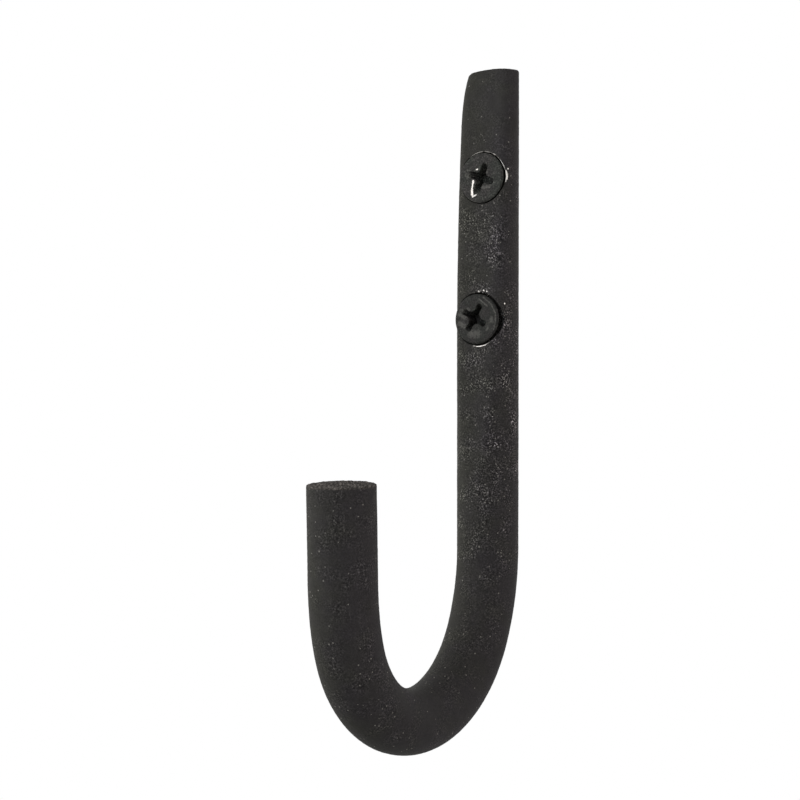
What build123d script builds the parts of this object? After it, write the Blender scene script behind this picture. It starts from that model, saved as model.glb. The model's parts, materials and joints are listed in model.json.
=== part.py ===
from build123d import *
import math
import os

# Towel hook bent from one round black bar and held to a wall by two countersunk screws.
# Millimetres. +Z is up, +Y points into the wall and -Y into the room. The origin lies on the
# seat, the narrow flat on the bar's back, midway between the two screw holes.

# Bar
bar_diameter = 10.0
arm_edge_width = 0.25  # broken edge round the sawn end of the arm

# Straight shank, measured along Z from the middle of the two holes
shank_above = 29.2
shank_below = 47.9

# Bend: an easing arc out of the shank, the cradle, and an easing arc into the arm
easing_in_radius = 31.0
easing_in_angle = 25.8
cradle_radius = 19.0
easing_out_radius = 38.3
easing_out_angle = 13.6
arm_lean = 1.1  # degrees, the arm's top leans away from the wall
arm_straight = 14.6

# Seat: a shallow flat ground along the back so that the bar beds on the wall
seat_cut = 1.0

# Front flat: runs out of the round bar below the holes, thins it upwards, noses over at the top
flat_below = 38.0
flat_slope = 3.4  # degrees
flat_corner_radius = 2.0
nose_radius = 56.0
nose_length = 9.8
flat_stations = 12  # sections that carry the flat's rounded corners up the shank

# Top end, cut by hand: slightly crowned and slightly off square
crown_radius = 26.0
crown_tilt = 1.7  # degrees, higher on the +X side
crown_lean = 1.8  # degrees, higher towards the wall
crown_edge_radius = 0.4

# Screws
head_diameter = 8.0
head_angle = 90.0
head_bevel_width = 0.25
head_bevel_height = 0.1
head_land = 0.22  # plain rim between the bevel and the cone
neck_diameter = 2.9
thread_diameter = 4.0  # over the crests
thread_behind_seat = 0.9  # the longer hole's neck ends this far behind the seat
thread_lead_in = 0.5
screw_length = 30.0
tip_length = 4.5

# Screw holes, square to the front flat and sunk with a drill so that the heads lie level
hole_spacing = 22.7  # on the seat
hole_gap = 0.25  # round the thread
sink_gap = 0.16  # round the head
sink_shift = 0.1  # the drill ran off to +X
drill_point_angle = 118.0
head_proud = 0.1  # of the front flat
seat_clearance = 0.03  # the coat between the head's cone and the mouth of the bore
lower_sink_extra = 0.29  # the lower hole is sunk a little deeper
lower_sink_widening = 0.1  # and a little wider
lower_sink_shift = 0.2  # and its drill ran off further
lower_screw_lift = 0.39  # its screw isn't driven home

# Cross recess
recess_span = 4.9
recess_floor_span = 2.0
recess_wing_thickness = 1.15
recess_depth = 2.3
recess_centre_diameter = 2.5
recess_floor_diameter = 1.1
recess_turn_upper = 18.75  # degrees clockwise, seen from the room
recess_turn_lower = 26.0
lower_recess_across = -0.45  # the lower recess is struck off centre
lower_recess_up = 0.2

# Derived values
bar_radius = bar_diameter / 2
axis_y = seat_cut - bar_radius  # the shank's centreline; the seat behind it is at Y = 0
slope = math.radians(flat_slope)
half_head_angle = math.radians(head_angle / 2)
half_drill_angle = math.radians(drill_point_angle / 2)
bore_radius = thread_diameter / 2 + hole_gap
sink_radius = head_diameter / 2 + sink_gap
tool_reach = 3 * bar_diameter


def flat_depth(height):
    """Distance from the bar's centreline out to the front flat at a height on the shank."""
    past_nose = max(0.0, height - (shank_above - nose_length))
    cut = (height + flat_below) * math.tan(slope) + past_nose**2 / (2 * nose_radius)
    return bar_radius - cut


def arc(centre_x, centre_y, radius, start, end, height):
    """Level arc about a centre, given from the bar's centreline, between two angles."""
    return ThreePointArc(
        *[
            (centre_x + radius * math.cos(a), axis_y + centre_y + radius * math.sin(a), height)
            for a in (start, (start + end) / 2, end)
        ]
    )


def flatted_section(height):
    """The bar's outline where the front flat cuts it, with the flat's corners rounded."""
    depth = flat_depth(height)
    corner = min(flat_corner_radius, 0.45 * (bar_radius + depth))
    corner_y = corner - depth
    half_flat = math.sqrt((bar_radius - corner) ** 2 - corner_y**2)
    meet = math.atan2(corner_y, half_flat)
    top, left, down = math.pi / 2, math.pi, math.pi * 1.5
    return Wire(
        [
            arc(half_flat, corner_y, corner, -top, meet, height),
            arc(0, 0, bar_radius, meet, top, height),
            arc(0, 0, bar_radius, top, left - meet, height),
            arc(-half_flat, corner_y, corner, left - meet, down, height),
            Line((-half_flat, axis_y - depth, height), (half_flat, axis_y - depth, height)),
        ]
    )


def round_section(height):
    """The whole round bar, split as a flatted section is, where the flat has just run out."""
    foot, meet = math.radians(-86), math.radians(-80)
    top, left, turn = math.pi / 2, math.pi, math.pi * 2
    stops = [foot, meet, top, left - meet, left - foot, turn + foot]
    return Wire([arc(0, 0, bar_radius, a, b, height) for a, b in zip(stops, stops[1:])])


def flatted_shank():
    """Shank from the flat's run-out up, a little longer than the finished one."""
    start, end = -flat_below, shank_above + bar_radius * math.tan(math.radians(crown_tilt)) + 1
    steps = [(i / flat_stations) ** 1.5 for i in range(1, flat_stations + 1)]
    outlines = [flatted_section(start + (end - start) * s) for s in steps]
    return Solid.make_loft([round_section(start), *outlines])


def centreline():
    """Path of the round bar from the flat's run-out down, round the bend and up the arm."""
    cradle_angle = 180 - easing_in_angle - easing_out_angle - arm_lean
    with BuildLine(Plane.YZ) as path:
        Line((axis_y, -flat_below), (axis_y, -shank_below))
        for radius, angle in (
            (easing_in_radius, easing_in_angle),
            (cradle_radius, cradle_angle),
            (easing_out_radius, easing_out_angle),
        ):
            JernArc(path.line @ 1, path.line % 1, radius, -angle)
        Line(path.line @ 1, path.line @ 1 + (path.line % 1) * arm_straight)
    return path.line


def round_bar():
    """The bar below the front flat, with the broken edge of its sawn end."""
    start = Plane(origin=(0, axis_y, -flat_below), z_dir=(0, 0, -1))
    bar = sweep(start * Circle(bar_radius), path=centreline())
    arm_end = bar.faces().sort_by(Axis.Y).filter_by(GeomType.PLANE)[0]
    return chamfer(arm_end.edges(), arm_edge_width)


def above_crown():
    """What the crowned end cut takes off the top of the shank."""
    tilt = math.radians(crown_tilt)
    centre_x = crown_radius * math.sin(tilt)
    centre_z = shank_above - crown_radius * math.cos(tilt)
    reach = Pos(0, 0, shank_above) * Box(tool_reach, tool_reach, tool_reach / 2)
    turn = Rot(90 + crown_lean, 0, 0)
    crown = Pos(centre_x, axis_y, centre_z) * turn * Cylinder(crown_radius, 2 * tool_reach)
    return reach - crown


def behind_seat():
    """What the seat cut takes off the bar's back."""
    length = shank_above + shank_below + 2 * tool_reach
    middle = (shank_above - shank_below) / 2
    size = Box(tool_reach, bar_radius, length, align=(Align.CENTER, Align.MIN, Align.CENTER))
    return Pos(0, 0, middle) * size


def hole_length(seat_height):
    """From the seat to the front flat along a hole that opens on the seat at this height."""
    across = bar_radius - axis_y - (seat_height + flat_below) * math.tan(slope)
    return across * math.cos(slope)


def hole_plane(seat_height):
    """Plane on the front flat at a hole's mouth, facing out of the hole."""
    length = hole_length(seat_height)
    mouth = (0, -length * math.cos(slope), seat_height + length * math.sin(slope))
    return Plane(origin=mouth, x_dir=(1, 0, 0), z_dir=(0, -math.cos(slope), math.sin(slope)))


def seat_on_head():
    """Depth below a seated screw's face of the bore's mouth, whose near side carries the cone."""
    touch_radius = bore_radius - sink_shift - seat_clearance / math.cos(half_head_angle)
    in_from_rim = head_diameter / 2 - touch_radius
    return head_bevel_height + head_land + in_from_rim / math.tan(half_head_angle)


def sunk_hole(extra_depth=0.0, widening=0.0):
    """Cutter for one hole, its mouth at Z = 0 and its axis along Z."""
    wall = sink_radius + widening
    bore_mouth = seat_on_head() - head_proud + extra_depth
    wall_end = bore_mouth - (wall - bore_radius) / math.tan(half_drill_angle)
    lip = bar_radius / 2
    with BuildSketch(Plane.XZ) as profile:
        with BuildLine():
            Polyline(
                (0, lip),
                (wall, lip),
                (wall, -wall_end),
                (bore_radius, -bore_mouth),
                (bore_radius, -tool_reach),
                (0, -tool_reach),
                close=True,
            )
        make_face()
    return revolve(profile.sketch, Axis.Z)


def hook():
    """The bent bar with its seat, front flat, crowned top and two sunk holes."""
    body = round_bar() + flatted_shank() - above_crown() - behind_seat()
    top_face = body.faces().sort_by(Axis.Z)[-1]
    body = fillet(top_face.edges(), crown_edge_radius)
    body -= hole_plane(hole_spacing / 2) * Pos(sink_shift, 0, 0) * sunk_hole()
    lower_hole = Pos(lower_sink_shift, 0, 0) * sunk_hole(lower_sink_extra, lower_sink_widening)
    body -= hole_plane(-hole_spacing / 2) * lower_hole
    return body


def cross_recess():
    """Cutter for the driver recess, its mouth at Z = 0: four tapered wings and a centre pit."""
    lip = 0.5
    taper = (recess_span - recess_floor_span) / 2 / recess_depth
    mouth, floor = recess_span / 2 + lip * taper, recess_floor_span / 2
    wing_outline = Plane.XZ * Polygon(
        (-floor, -recess_depth), (floor, -recess_depth), (mouth, lip), (-mouth, lip), align=None
    )
    wings = extrude(wing_outline, amount=recess_wing_thickness / 2, both=True)
    pit = Cone(
        recess_floor_diameter / 2,
        recess_centre_diameter / 2,
        recess_depth,
        align=(Align.CENTER, Align.CENTER, Align.MAX),
    )
    return wings + Rot(0, 0, 90) * wings + pit


def screw_body():
    """Countersunk screw turned about Z, head face at Z = 0. The thread is its crest cylinder."""
    head, neck, thread = head_diameter / 2, neck_diameter / 2, thread_diameter / 2
    cone_start = head_bevel_height + head_land
    cone_end = cone_start + (head - neck) / math.tan(half_head_angle)
    neck_end = hole_length(-hole_spacing / 2) + thread_behind_seat
    with BuildSketch(Plane.XZ) as profile:
        with BuildLine():
            Polyline(
                (0, 0),
                (head - head_bevel_width, 0),
                (head, -head_bevel_height),
                (head, -cone_start),
                (neck, -cone_end),
                (neck, -neck_end),
                (thread, -neck_end - thread_lead_in),
                (thread, tip_length - screw_length),
                (0, -screw_length),
                close=True,
            )
        make_face()
    return revolve(profile.sketch, Axis.Z)


def screw(seat_height, face_height, recess_turn, recess_across=0.0, recess_up=0.0):
    """A screw in the hole at this height, its face this far in front of the flat."""
    recess = Pos(recess_across, recess_up, 0) * Rot(0, 0, -recess_turn) * cross_recess()
    return hole_plane(seat_height) * Pos(0, 0, face_height) * (screw_body() - recess)


lower_face_height = head_proud - lower_sink_extra + lower_screw_lift
parts = {
    "hook": hook(),
    "screw_upper": screw(hole_spacing / 2, head_proud, recess_turn_upper),
    "screw_lower": screw(
        -hole_spacing / 2,
        lower_face_height,
        recess_turn_lower,
        lower_recess_across,
        lower_recess_up,
    ),
}

os.makedirs("parts", exist_ok=True)
for name, solid in parts.items():
    solid.label = name
    export_step(solid, f"parts/{name}.step")
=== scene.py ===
"""Towel hook: a coated, bent round bar held to the wall by two black countersunk screws."""

import json
import math

import bmesh
import bpy
from bpy.props import FloatProperty, FloatVectorProperty, IntProperty, PointerProperty
from mathutils import Matrix, Vector


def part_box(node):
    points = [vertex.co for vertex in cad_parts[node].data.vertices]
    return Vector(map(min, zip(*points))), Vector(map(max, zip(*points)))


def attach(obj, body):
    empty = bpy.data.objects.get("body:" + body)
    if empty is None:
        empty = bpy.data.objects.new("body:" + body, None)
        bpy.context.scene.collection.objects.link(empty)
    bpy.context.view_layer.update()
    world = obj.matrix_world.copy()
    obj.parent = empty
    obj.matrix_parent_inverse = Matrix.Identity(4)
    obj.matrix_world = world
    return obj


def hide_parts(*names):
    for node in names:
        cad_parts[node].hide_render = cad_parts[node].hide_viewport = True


bl_info = {
    "name": "Towel hook",
    "version": (1, 0, 0),
    "blender": (4, 5, 0),
    "location": "3D View > Sidebar > Towel hook",
    "description": "Makes a coated towel hook with its two screws, and the wall and light round it",
    "category": "Object",
}

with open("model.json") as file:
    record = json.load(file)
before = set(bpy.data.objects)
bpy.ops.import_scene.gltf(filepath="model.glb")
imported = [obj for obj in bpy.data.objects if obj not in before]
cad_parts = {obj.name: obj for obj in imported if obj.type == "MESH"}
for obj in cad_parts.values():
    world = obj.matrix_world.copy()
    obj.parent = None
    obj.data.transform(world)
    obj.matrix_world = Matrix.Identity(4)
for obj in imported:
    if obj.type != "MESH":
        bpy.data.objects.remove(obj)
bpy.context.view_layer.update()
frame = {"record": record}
HOOK_LOW, HOOK_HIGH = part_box("hook")
MOUNTS = {mount["name"]: mount for mount in frame["record"]["mounts"]}
FINISHES = {m["slot"]: (*m["base_color"], 1.0) for m in frame["record"]["materials"]}
ACROSS = Vector((1, 0, 0))
MM = 0.001

BARE_STEEL = (0.62, 0.60, 0.57, 1.0)
WORN_STEEL = (0.55, 0.53, 0.50, 1.0)
RUBBED_AND_HIGHLIGHT_GREY = (0.30, 0.30, 0.28, 1.0)
SPARKLE_SPECK_GREY = (0.35, 0.34, 0.32, 1.0)


# ---------------------------------------------------------------- sizes and colours


def metres(name, description, default):
    """A length that a user may change."""
    return FloatProperty(name=name, description=description, default=default, unit="LENGTH")


def degrees(name, description, default):
    """An angle that a user may change, whose default is given in degrees."""
    turn = math.radians(default)
    return FloatProperty(name=name, description=description, default=turn, subtype="ANGLE")


def named_sizes(group):
    """A group's values under the names that the panel shows."""
    shown = group.bl_rna.properties
    return {shown[key].name: getattr(group, key) for key in type(group).__annotations__}


class BarSizes(bpy.types.PropertyGroup):
    """The bent bar, from its crowned top round to the sawn end of its arm."""

    diameter: metres("Bar diameter", "Diameter of the round bar", 0.010)
    shank_above: metres("Shank above", "From the middle of the two holes up to the top", 0.0292)
    shank_below: metres("Shank below", "From the middle of the two holes down to the bend", 0.0479)
    easing_in_radius: metres(
        "Easing in radius", "Radius of the centreline where the shank starts to bend", 0.031
    )
    easing_in_angle: degrees("Easing in angle", "Turn of the bend's first arc", 25.8)
    cradle_radius: metres("Cradle radius", "Radius of the centreline round the cradle", 0.019)
    easing_out_radius: metres(
        "Easing out radius", "Radius of the centreline where the bend runs into the arm", 0.0383
    )
    easing_out_angle: degrees("Easing out angle", "Turn of the bend's last arc", 13.6)
    arm_lean: degrees("Arm lean", "Lean of the arm away from the wall", 1.1)
    arm_straight: metres("Arm", "Straight length of the arm", 0.0146)
    seat_cut: metres(
        "Seat cut", "Depth ground off the bar's back where it beds on the wall", 0.001
    )
    flat_below: metres(
        "Flat below",
        "From the middle of the two holes down to where the front flat runs out",
        0.038,
    )
    flat_slope: degrees("Flat slope", "Slope of the front flat, which thins the bar upwards", 3.4)
    flat_corner: metres("Flat corner", "Radius of the soft corners along the front flat", 0.002)
    nose_length: metres(
        "Nose length", "Height over which the flat noses over below the top", 0.0098
    )
    nose_radius: metres("Nose radius", "Radius of that nose, seen from the side", 0.056)
    crown_radius: metres("Crown radius", "Radius of the crowned top, seen from the front", 0.026)
    crown_tilt: degrees(
        "Crown tilt", "How far off square the top was cut, seen from the front", 1.7
    )
    crown_lean: degrees("Crown lean", "How far the top was cut higher towards the wall", 1.8)
    top_edge: metres("Top edge", "Radius of the broken edge round the top", 0.0004)
    arm_edge: metres("Arm edge", "Radius of the broken edge round the sawn end of the arm", 0.0002)
    face_size: metres("Face size", "Length of a mesh face's side", 0.00025)


class ScrewSizes(bpy.types.PropertyGroup):
    """The two countersunk wood screws and the holes sunk for them."""

    head_diameter: metres("Head diameter", "Diameter of the countersunk head", 0.008)
    bevel_width: metres("Bevel width", "Width of the bevel round the head's face", 0.00025)
    bevel_height: metres("Bevel height", "Height of that bevel", 0.0001)
    land: metres("Land", "Height of the plain rim between the bevel and the cone", 0.00022)
    neck_diameter: metres("Neck diameter", "Diameter of the plain neck under the head", 0.0029)
    core_diameter: metres("Core diameter", "Diameter between the thread's ridges", 0.0025)
    pitch: metres("Pitch", "Distance from one ridge of the thread to the next", 0.0018)
    length: metres("Screw length", "From the head's face to the point", 0.030)
    tip_length: metres("Tip length", "Length of the thread's pointed end", 0.0045)
    recess_span: metres(
        "Recess span", "Width of the cross recess across two opposite wings", 0.0049
    )
    recess_floor_span: metres(
        "Recess floor span", "Width across two opposite wings at the recess's floor", 0.002
    )
    recess_wing: metres("Recess wing", "Thickness of a wing of the recess", 0.00125)
    recess_centre: metres(
        "Recess centre", "Width of the recess across its middle, between the lobes", 0.0021
    )
    upper_lobe: metres(
        "Upper recess lobe",
        "Radius of the head's round lobes between the upper recess's wings",
        0.0006,
    )
    lower_lobe: metres(
        "Lower recess lobe",
        "Radius of the head's round lobes between the lower recess's wings",
        0.00095,
    )
    recess_depth: metres("Recess depth", "Depth of the cross recess", 0.0023)
    recess_wear: metres(
        "Recess wear",
        "How far a slipped driver has lengthened the upper screw's lowest wing",
        0.0005,
    )
    neck_length: metres("Neck length", "From the head's face to where the thread starts", 0.0083)
    upper_turn: degrees(
        "Upper turn", "How far the upper screw stands turned, clockwise from the front", 18.75
    )
    lower_turn: degrees(
        "Lower turn", "How far the lower screw stands turned, clockwise from the front", 28
    )
    upper_face: metres(
        "Upper face", "How far the upper head's face stands in front of the flat", 0.0001
    )
    lower_face: metres(
        "Lower face", "How far the lower head's face stands in front of the flat", 0.0002
    )
    sink_gap: metres("Sink gap", "Gap between a head's rim and the wall of its sunk hole", 0.00016)
    hole_gap: metres("Hole gap", "Gap round the thread in its hole", 0.00025)
    lower_sink_extra: metres("Lower sink extra", "How much deeper the lower hole is sunk", 0.00029)
    lower_sink_widening: metres(
        "Lower sink widening", "How much wider all round the lower hole is sunk", 0.0001
    )
    sink_shift: metres(
        "Sink shift", "How far the upper hole's drill ran off to the right", 0.00013
    )
    lower_sink_shift: metres(
        "Lower sink shift", "How far the lower hole's drill ran off to the right", 0.0002
    )
    lower_recess_place: FloatVectorProperty(
        name="Lower recess place",
        description="How far right and up the lower screw's recess is struck off centre",
        default=(-0.00045, 0.0002),
        size=2,
        unit="LENGTH",
    )


class CoatLook(bpy.types.PropertyGroup):
    """The sandy powder coat and the black of the screws."""

    coat_colour: FloatVectorProperty(
        name="Coat colour",
        description="Colour of the powder coat",
        default=FINISHES["coated_bar"],
        size=4,
        min=0.0,
        max=1.0,
        subtype="COLOR",
    )
    screw_colour: FloatVectorProperty(
        name="Screw colour",
        description="Colour of the blackened screws",
        default=FINISHES["screw_black"],
        size=4,
        min=0.0,
        max=1.0,
        subtype="COLOR",
    )
    grain_size: metres("Grain size", "Width of the coat's sandy grains", 0.0005)
    grain_depth: metres("Grain depth", "Depth between the grains", 0.00005)
    seed: IntProperty(
        name="Seed",
        description="Another number gives another scatter of grains",
        default=7,
    )


class StageLook(bpy.types.PropertyGroup):
    """Where the camera and the lights stand."""

    camera_turn: degrees(
        "Camera turn", "How far the camera stands round to the hook's right-hand side", 34.245
    )
    camera_rise: degrees("Camera rise", "How far the camera looks down", 2.673)
    camera_roll: degrees("Camera roll", "Roll of the camera about its view", -0.126)
    camera_distance: metres(
        "Camera distance", "From the camera to the point that it looks at", 0.2337
    )
    camera_aim: FloatVectorProperty(
        name="Camera aim",
        description="The point that the camera looks at",
        default=(-0.0044, -0.0229, -0.0234),
        size=3,
        unit="LENGTH",
    )
    camera_lens: FloatProperty(
        name="Lens",
        description="Focal length of the camera in millimetres",
        default=68.32,
    )
    floor_gap: metres("Floor gap", "From the hook's lowest point down to the floor", 0.055)


# ---------------------------------------------------------------- node trees


class Field:
    """A number that a node tree works out at every point, written with ordinary arithmetic."""

    def __init__(self, tree, socket):
        self.tree, self.socket = tree, socket

    def __add__(self, other):
        return maths("ADD", self, other)

    def __radd__(self, other):
        return maths("ADD", other, self)

    def __sub__(self, other):
        return maths("SUBTRACT", self, other)

    def __rsub__(self, other):
        return maths("SUBTRACT", other, self)

    def __mul__(self, other):
        return maths("MULTIPLY", self, other)

    def __rmul__(self, other):
        return maths("MULTIPLY", other, self)

    def __truediv__(self, other):
        return maths("DIVIDE", self, other)

    def __rtruediv__(self, other):
        return maths("DIVIDE", other, self)

    def __neg__(self):
        return maths("MULTIPLY", self, -1.0)


def feed(tree, socket, value):
    """Join a value to a socket, or set it there if it is a plain number, colour or object."""
    if isinstance(value, Field):
        value = value.socket
    if isinstance(value, bpy.types.NodeSocket):
        tree.links.new(value, socket)
    else:
        socket.default_value = value


def node(tree, kind, inputs=None, **settings):
    """Add a node with its settings and inputs, which are named or numbered."""
    made = tree.nodes.new(kind)
    for name, value in settings.items():
        setattr(made, name, value)
    for name, value in (inputs or {}).items():
        feed(tree, made.inputs[name], value)
    return made


def maths(operation, *terms):
    """One Math node on fields and numbers."""
    tree = next(term.tree for term in terms if isinstance(term, Field))
    made = node(tree, "ShaderNodeMath", dict(enumerate(terms)), operation=operation)
    return Field(tree, made.outputs[0])


def clamped(value, low, high):
    """A field held between two limits."""
    return maths("MINIMUM", maths("MAXIMUM", value, low), high)


def chosen(test, yes, no):
    """One field where the test is 1 and another where it is 0."""
    return test * yes + (1.0 - test) * no


def squared(value):
    """A field times itself."""
    return value * value


def edged(value, start, steepness):
    """0 up to a start and 1 from a little past it, the nearer the steeper."""
    return clamped((value - start) * steepness, 0.0, 1.0)


def geometry_tree(name, inputs):
    """A new geometry tree with a material and other named inputs, a dict of kind to names.

    Returns the tree, its input sockets, and those of them that are numbers as fields.
    """
    tree = bpy.data.node_groups.new(name, "GeometryNodeTree")
    tree.interface.new_socket("Geometry", in_out="INPUT", socket_type="NodeSocketGeometry")
    for kind, labels in {**inputs, "Material": ["Material"]}.items():
        for label in labels:
            tree.interface.new_socket(label, in_out="INPUT", socket_type=f"NodeSocket{kind}")
    tree.interface.new_socket("Geometry", in_out="OUTPUT", socket_type="NodeSocketGeometry")
    given = node(tree, "NodeGroupInput").outputs
    size = {
        socket.name: Field(tree, socket) for socket in given if socket.type in ("VALUE", "INT")
    }
    return tree, given, size


def vector_maths(tree, operation, first, second):
    """The vector that one Vector Math node makes of two."""
    made = node(tree, "ShaderNodeVectorMath", {0: first, 1: second}, operation=operation)
    return made.outputs["Vector"]


def measured(tree, operation, first, second):
    """The number that one Vector Math node finds for two vectors."""
    made = node(tree, "ShaderNodeVectorMath", {0: first, 1: second}, operation=operation)
    return Field(tree, made.outputs["Value"])


def distance_from(tree, place, point):
    """How far the place lies from a point."""
    return measured(tree, "DISTANCE", place, point)


def scaled(tree, vector, factor):
    """A vector or a colour times a number."""
    made = node(tree, "ShaderNodeVectorMath", {0: vector}, operation="SCALE")
    feed(tree, made.inputs["Scale"], factor)
    return made.outputs["Vector"]


def parts_of(tree, vector):
    """A vector's three numbers."""
    return [
        Field(tree, part) for part in node(tree, "ShaderNodeSeparateXYZ", {0: vector}).outputs
    ]


def joined(tree, x, y, z):
    """The vector of three numbers."""
    return node(tree, "ShaderNodeCombineXYZ", {0: x, 1: y, 2: z}).outputs[0]


def clouds(tree, place, patch, seed, detail=2.0, roughness=0.5):
    """Cloudy pattern with patches of about a size, spread about 0."""
    made = node(
        tree,
        "ShaderNodeTexNoise",
        {"Vector": place, "W": seed, "Scale": 1 / patch, "Detail": detail, "Roughness": roughness},
        noise_dimensions="4D",
    )
    return Field(tree, made.outputs[0]) - 0.5


def unit_grid(tree, columns, rows):
    """A grid of faces, and how far across and up it each point lies, from 0 to 1."""
    inputs = {"Size X": 1.0, "Size Y": 1.0, "Vertices X": columns + 1, "Vertices Y": rows + 1}
    grid = node(tree, "GeometryNodeMeshGrid", inputs).outputs[0]
    across, up, _ = parts_of(tree, node(tree, "GeometryNodeInputPosition").outputs[0])
    return grid, across + 0.5, up + 0.5


def merged(tree, geometry, distance):
    """A mesh whose points nearer to each other than a distance are one."""
    inputs = {"Geometry": geometry, "Distance": distance}
    return node(tree, "GeometryNodeMergeByDistance", inputs).outputs[0]


def cut_by(tree, mesh, cutter):
    """A mesh less the solid of an object."""
    solid = node(tree, "GeometryNodeObjectInfo", {"Object": cutter}).outputs["Geometry"]
    return node(
        tree,
        "GeometryNodeMeshBoolean",
        {"Mesh 1": mesh, "Mesh 2": solid},
        operation="DIFFERENCE",
        solver="EXACT",
    ).outputs[0]


def smoothed(tree, geometry, sharp_angle):
    """Smooth shading that stops at edges sharper than an angle."""
    smooth = node(
        tree, "GeometryNodeSetShadeSmooth", {"Geometry": geometry, "Shade Smooth": True}
    ).outputs[0]
    edge = node(tree, "GeometryNodeInputMeshEdgeAngle").outputs["Unsigned Angle"]
    soft = maths("LESS_THAN", Field(tree, edge), sharp_angle)
    return node(
        tree,
        "GeometryNodeSetShadeSmooth",
        {"Geometry": smooth, "Shade Smooth": soft},
        domain="EDGE",
    ).outputs[0]


def close_tree(tree, geometry, material):
    """End a geometry tree: real geometry with its material."""
    real = node(tree, "GeometryNodeRealizeInstances", {"Geometry": geometry}).outputs[0]
    dressed = node(tree, "GeometryNodeSetMaterial", {"Geometry": real, "Material": material})
    node(tree, "NodeGroupOutput", {"Geometry": dressed.outputs[0]})


def new_object(name, data):
    """An object in the scene that holds some data."""
    made = bpy.data.objects.new(name, data)
    bpy.context.scene.collection.objects.link(made)
    return made


def run_tree(name, tree, values, start=None):
    """Run a geometry tree on a mesh, or on nothing, and return the result as a plain mesh."""
    host = new_object(name + "_tree", start or bpy.data.meshes.new(name + "_start"))
    modifier = host.modifiers.new(tree.name, "NODES")
    modifier.node_group = tree
    for item in tree.interface.items_tree:
        if item.in_out == "INPUT" and item.name in values:
            modifier[item.identifier] = values[item.name]
    view = bpy.context.evaluated_depsgraph_get()
    mesh = bpy.data.meshes.new_from_object(host.evaluated_get(view))
    mesh.name = name
    bpy.data.objects.remove(host)
    return mesh


def show_piece(name, mesh, node_name):
    """Put a finished mesh in the scene in place of its CAD node."""
    piece = new_object(name, mesh)
    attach(piece, "root")
    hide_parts(node_name)


# ---------------------------------------------------------------- the bar


def centreline_points(bar):
    """Points down the shank, round the bend and up the arm."""
    step = math.radians(1.0)
    axis_y = bar.seat_cut - bar.diameter / 2
    point = Vector((0, axis_y, -bar.shank_below))
    points = [Vector((0, axis_y, bar.shank_above)), point]
    heading = 0.0
    cradle_angle = math.pi - bar.easing_in_angle - bar.easing_out_angle - bar.arm_lean
    for radius, turn in (
        (bar.easing_in_radius, bar.easing_in_angle),
        (bar.cradle_radius, cradle_angle),
        (bar.easing_out_radius, bar.easing_out_angle),
    ):
        centre = point - radius * Vector((0, math.cos(heading), -math.sin(heading)))
        count = math.ceil(turn / step)
        for i in range(1, count + 1):
            a = heading + turn * i / count
            points.append(centre + radius * Vector((0, math.cos(a), -math.sin(a))))
        heading += turn
        point = points[-1]
    points.append(point + bar.arm_straight * Vector((0, -math.sin(heading), -math.cos(heading))))
    return points


def centreline(bar):
    """The bar's centreline as a curve, and its length."""
    points = centreline_points(bar)
    curve = bpy.data.curves.new("centreline", "CURVE")
    curve.dimensions = "3D"
    spline = curve.splines.new("POLY")
    spline.points.add(len(points) - 1)
    for target, point in zip(spline.points, points):
        target.co = (*point, 1.0)
    length = sum((b - a).length for a, b in zip(points, points[1:]))
    return new_object("centreline", curve), length


def end_shape(from_middle, radius, edge):
    """Share of the full section and distance in from an end, this far out from its middle."""
    face = radius - edge
    angle = clamped((from_middle - face) / edge, 0.0, math.pi / 2)
    wall = maths("MAXIMUM", from_middle - face - edge * (math.pi / 2), 0.0)
    share = (maths("MINIMUM", from_middle, face) + edge * maths("SINE", angle)) / radius
    inward = edge * (1.0 - maths("COSINE", angle)) + wall
    return share, inward


def flatted_outline(angle, radius, depth, corner):
    """Across and inward place on a round bar's outline that is cut flat at a depth in front.

    The rays start midway between the flat and the bar's back, and the flat's corners are round.
    """
    middle = (radius - depth) / 2.0
    ray_x, ray_y = maths("COSINE", angle), maths("SINE", angle)
    corner_y = corner - depth
    half_flat = maths("SQRT", maths("MAXIMUM", squared(radius - corner) - squared(corner_y), 0.0))

    to_bar = maths("SQRT", squared(middle * ray_y) + squared(radius) - squared(middle))
    to_bar = to_bar - middle * ray_y
    meet_y = radius * corner_y / (radius - corner)
    on_bar = maths("GREATER_THAN", middle + to_bar * ray_y, meet_y)

    to_flat = (middle + depth) / maths("MAXIMUM", -ray_y, 1e-6)
    on_flat = maths("LESS_THAN", to_flat * maths("ABSOLUTE", ray_x), half_flat)

    centre_x = half_flat * maths("SIGN", ray_x)
    centre_y = corner_y - middle
    along = ray_x * centre_x + ray_y * centre_y
    aside = squared(along) + squared(corner) - squared(centre_x) - squared(centre_y)
    to_corner = along + maths("SQRT", maths("MAXIMUM", aside, 0.0))

    reach = chosen(on_flat, to_flat, chosen(on_bar, to_bar, to_corner))
    return middle, reach * ray_x, reach * ray_y


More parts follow.
